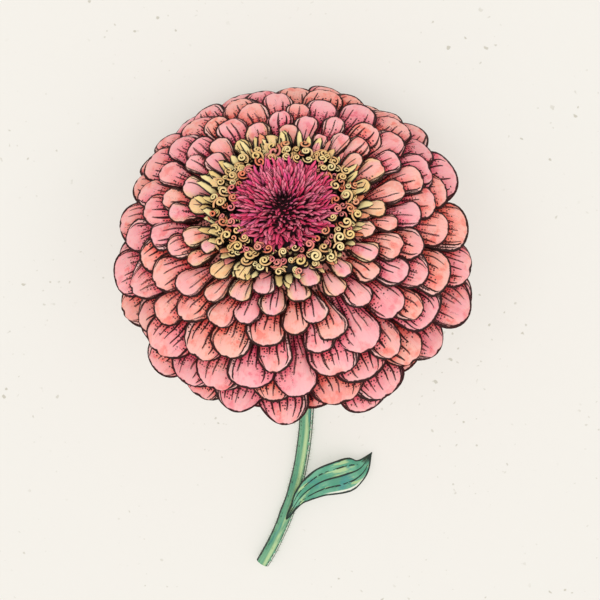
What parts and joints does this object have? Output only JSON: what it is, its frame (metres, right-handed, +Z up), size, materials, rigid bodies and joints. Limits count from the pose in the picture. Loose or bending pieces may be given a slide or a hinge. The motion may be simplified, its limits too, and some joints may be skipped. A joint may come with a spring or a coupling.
{
  "type": "zinnia flower",
  "caption": "Cut double zinnia lying down: a domed bloom of overlapping rounded petals round a yellow ring and a shaggy disc, on a short curved stem with one pointed leaf.",
  "frame": {"origin": "bottom centre of the bounding box, on the surface the flower lies on", "axes": "+Z up, +Y along the surface from the cut end of the stem towards the bloom, +X to the right of the bloom seen from above with the stem towards the viewer; the leaf is on the +X side"},
  "size_m": [0.1081, 0.1631, 0.0811],
  "materials": {
    "petal": "matte, coral pink with dark ribs",
    "disc": "matte, deep magenta",
    "ring": "matte, warm yellow",
    "bract": "satin green with dark tips",
    "stem": "satin green, ribbed and bristly",
    "leaf": "satin blue green with long veins"
  },
  "bodies": {
    "root": {"ray_petals": "petal", "disc_florets": "disc", "ring_florets": "ring", "involucre": "bract", "stem": "stem", "leaf": "leaf"}
  },
  "joints": []
}
